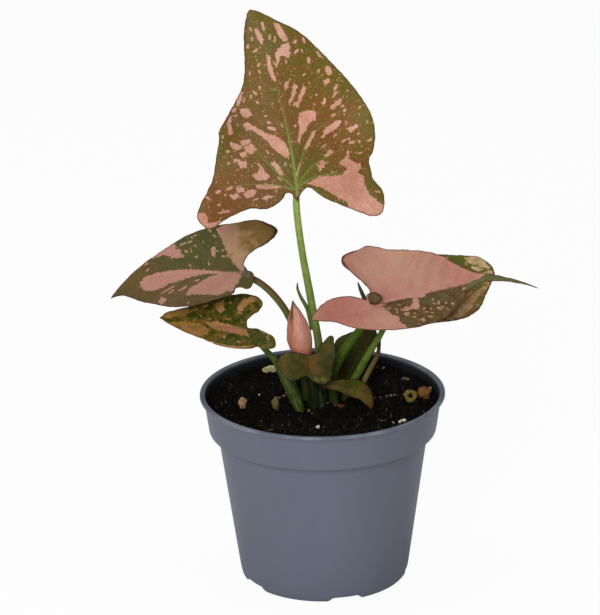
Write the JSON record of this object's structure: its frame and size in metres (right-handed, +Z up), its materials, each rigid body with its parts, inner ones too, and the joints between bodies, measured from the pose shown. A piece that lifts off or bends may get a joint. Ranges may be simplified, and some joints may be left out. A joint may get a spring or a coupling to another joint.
{
  "type": "potted houseplant",
  "caption": "Young syngonium with pink-splashed arrow-shaped leaves on slender stalks, growing in a grey nursery pot filled with potting soil.",
  "frame": {"origin": "centre of the plant's bounding box, at the level of the pot's foot", "axes": "+Z up along the pot's axis, -Y towards the side the plant is seen from, +X to the right from there"},
  "size_m": [0.2078, 0.1196, 0.2759],
  "materials": {
    "pot_plastic": "satin, moulded",
    "potting_soil": "loose, dull",
    "variegated_blade": "satin leaf",
    "pink_blade": "satin leaf",
    "green_blade": "satin leaf",
    "stalk": "satin, fleshy",
    "dry_sheath": "dry, papery",
    "bark": "rough, dull"
  },
  "bodies": {
    "root": {"pot": "pot_plastic", "potting_soil": "potting_soil", "tall_leaf_blade": "variegated_blade", "upper_left_leaf_blade": "green_blade", "lower_left_leaf_blade": "green_blade", "right_leaf_blade": "pink_blade", "rear_right_leaf_blade": "variegated_blade", "low_front_leaf_blade": "green_blade", "drooping_leaf_blade": "green_blade", "upright_back_leaf_blade": "green_blade", "furled_leaf": "pink_blade", "withered_strand": "dry_sheath", "tall_leaf_stalk": "stalk", "upper_left_leaf_stalk": "stalk", "lower_left_leaf_stalk": "stalk", "right_leaf_stalk": "stalk", "rear_right_leaf_stalk": "stalk", "low_front_leaf_stalk": "stalk", "drooping_leaf_stalk": "stalk", "furled_leaf_stalk": "stalk", "pale_bark_chip": "bark", "tan_bark_chip": "bark", "olive_bark_lump": "bark", "brown_bark_lump": "bark", "orange_fibre_chip": "bark", "ring_bark_chip": "bark"}
  },
  "joints": []
}
